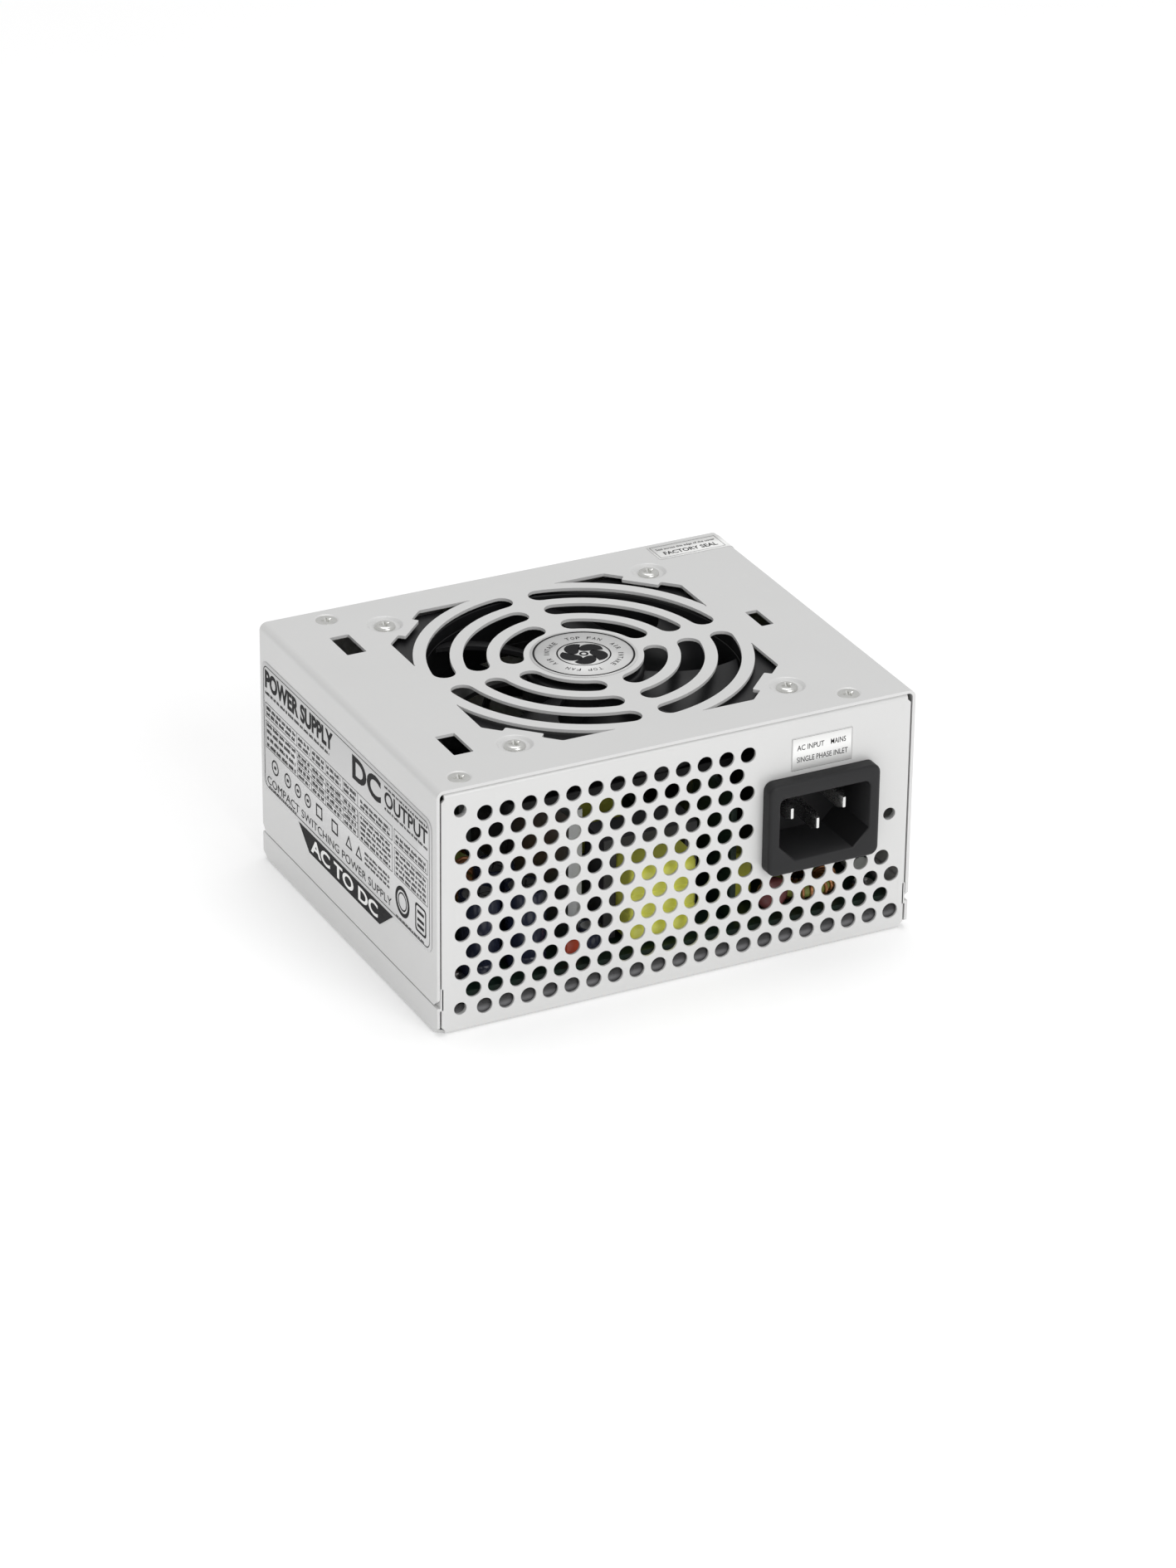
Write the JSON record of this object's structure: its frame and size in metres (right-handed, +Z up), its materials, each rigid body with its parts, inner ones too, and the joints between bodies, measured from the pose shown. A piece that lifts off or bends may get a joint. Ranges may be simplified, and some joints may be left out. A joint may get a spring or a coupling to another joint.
{
  "type": "power supply unit",
  "caption": "Compact SFX-format computer power supply: grey sheet-steel case, round top fan grille, perforated mains panel with a black three-pin inlet, and its inner parts.",
  "frame": {"origin": "centre of the underside of the case", "axes": "+Z up through the fan grille, -Y out of the perforated mains panel, +X towards the mains inlet's end, -X the side with the rating label"},
  "size_m": [0.1252, 0.1052, 0.0637],
  "materials": {
    "painted_steel": "light grey satin powder coat on sheet steel",
    "inlet_plastic": "matte black moulded plastic",
    "fan_plastic": "black moulded plastic",
    "bright_steel": "nickel-plated, bright",
    "screw_steel": "zinc-plated screw",
    "label_paper": "white matt label",
    "label_print": "silver-grey label with black print",
    "badge_foil": "grey sticker with a black printed ring",
    "insulating_film": "glossy black film",
    "board_laminate": "green coated laminate",
    "aluminium": "extruded aluminium",
    "ferrite": "dark grey ferrite",
    "yellow_tape": "yellow polyester tape",
    "choke_winding": "enamelled winding on a yellow-green ring core",
    "capacitor_sleeve": "dark heat-shrunk sleeve",
    "maroon_epoxy": "brown-red epoxy coat",
    "red_epoxy": "red epoxy coat",
    "component_body": "black moulding compound",
    "copper": "enamelled copper winding on laminations",
    "magnet": "bonded ferrite ring",
    "brass": "plain brass",
    "brown_lead": "brown insulation",
    "blue_lead": "blue insulation",
    "green_lead": "green insulation",
    "fan_lead_sleeve": "black sleeved lead",
    "rubber": "black rubber",
    "glass_tube": "glass tube with plated end caps"
  },
  "bodies": {
    "case": {"base_tray": "painted_steel", "board_screw_1": "screw_steel", "board_screw_2": "screw_steel", "board_screw_3": "screw_steel", "board_screw_4": "screw_steel", "board_standoff_1": "brass", "board_standoff_2": "brass", "board_standoff_3": "brass", "board_standoff_4": "brass", "bridge_rectifier": "component_body", "bulk_capacitor": "capacitor_sleeve", "cable_grommet": "rubber", "circuit_board": "board_laminate", "control_board": "board_laminate", "cover_screw_1": "screw_steel", "cover_screw_2": "screw_steel", "cover_screw_3": "screw_steel", "cover_screw_4": "screw_steel", "earth_lead": "green_lead", "earth_pin": "bright_steel", "fan_badge": "badge_foil", "fan_frame": "fan_plastic", "fan_lead": "fan_lead_sleeve", "fan_motor_base": "fan_plastic", "fan_screw_1": "screw_steel", "fan_screw_2": "screw_steel", "fan_screw_3": "screw_steel", "fan_screw_4": "screw_steel", "fan_stator": "copper", "film_capacitor": "red_epoxy", "filter_choke": "choke_winding", "fuse": "glass_tube", "inlet_housing": "inlet_plastic", "inlet_label": "label_paper", "insulator_sheet": "insulating_film", "live_lead": "brown_lead", "live_pin": "bright_steel", "neutral_lead": "blue_lead", "neutral_pin": "bright_steel", "output_capacitor_1": "capacitor_sleeve", "output_capacitor_2": "capacitor_sleeve", "output_capacitor_3": "capacitor_sleeve", "output_choke": "choke_winding", "output_rectifier": "component_body", "pfc_choke": "yellow_tape", "primary_heatsink": "aluminium", "rating_label": "label_print", "secondary_heatsink": "aluminium", "small_capacitor": "capacitor_sleeve", "standby_transformer": "yellow_tape", "switching_transistor": "component_body", "top_cover": "painted_steel", "transformer_core": "ferrite", "transformer_winding": "yellow_tape", "varistor": "maroon_epoxy", "warranty_label": "label_paper", "x_capacitor": "yellow_tape"},
    "rotor": {"fan_rotor": "fan_plastic", "magnet_ring": "magnet", "fan_shaft": "bright_steel"}
  },
  "joints": [
    {"name": "fan_spin", "type": "hinge", "parent": "case", "child": "rotor", "pos_m": [0.0003, 0.00075, 0.055], "axis": [0, 0, 1], "continuous": true}
  ]
}
